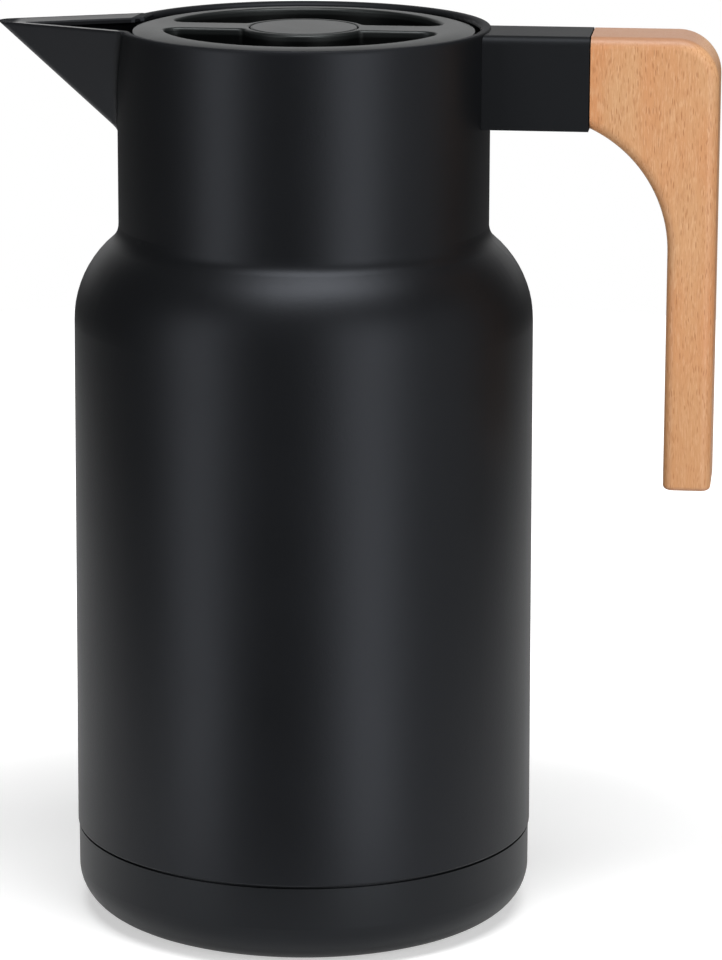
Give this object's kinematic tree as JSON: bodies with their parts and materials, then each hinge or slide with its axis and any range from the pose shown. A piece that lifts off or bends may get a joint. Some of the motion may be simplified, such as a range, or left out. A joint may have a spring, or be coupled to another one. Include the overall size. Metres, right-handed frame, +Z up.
{
  "type": "thermal carafe",
  "caption": "Cylindrical vacuum carafe with a pointed spout, an L-shaped wooden grip on a square arm, and a turn-out stopper with a push button that opens its pour valve.",
  "frame": {"origin": "centre of the foot pad's underside, on the body's axis and on the table", "axes": "+Z up along the body's axis, +X towards the handle, -X towards the spout"},
  "size_m": [0.1853, 0.12, 0.2337],
  "materials": {
    "jacket_coat": "matte black powder coat",
    "black_plastic": "matte black",
    "beech": "oiled beech",
    "lid_plastic": "satin black",
    "inner_plastic": "black",
    "soft_ring": "translucent grey silicone",
    "foot_rubber": "black",
    "steel": "brushed"
  },
  "bodies": {
    "jug": {"outer_shell": "jacket_coat", "spout": "jacket_coat", "inner_flask": "steel", "jacket_bottom": "steel", "getter": "steel", "seal_tip": "steel", "base_cup": "black_plastic", "foot_pad": "foot_rubber", "neck_ring": "steel", "arm_studs": "steel", "arm_nuts": "steel", "handle_arm": "black_plastic", "handle_grip": "beech", "grip_screws": "steel"},
    "lid_carrier": {"stem_bush": "inner_plastic"},
    "lid": {"lid_cover": "lid_plastic", "stopper_body": "inner_plastic", "seat_plate": "inner_plastic", "seat_screws": "steel", "stopper_gasket": "soft_ring", "button_spring": "steel"},
    "valve": {"push_button": "lid_plastic", "valve_stem": "steel", "valve_plate": "steel", "valve_seal": "soft_ring", "valve_nut": "steel"}
  },
  "joints": [
    {"name": "lid_rise", "type": "slide", "parent": "jug", "child": "lid_carrier", "axis": [0, 0, 1], "range_m": [0, 0.0017]},
    {"name": "lid_turn", "type": "hinge", "parent": "lid_carrier", "child": "lid", "pos_m": [0, 0, 0.2], "axis": [0, 0, 1], "range_deg": [0, 60]},
    {"name": "button_press", "type": "slide", "parent": "lid", "child": "valve", "axis": [0, 0, -1], "range_m": [0, 0.0045], "stiffness_N_per_m": 600, "springref_m": -0.005, "deforming": ["button_spring"]}
  ],
  "couplings": [
    {"joint": "lid_rise", "follows": "lid_turn", "m_per_rad": 0.0015915}
  ]
}
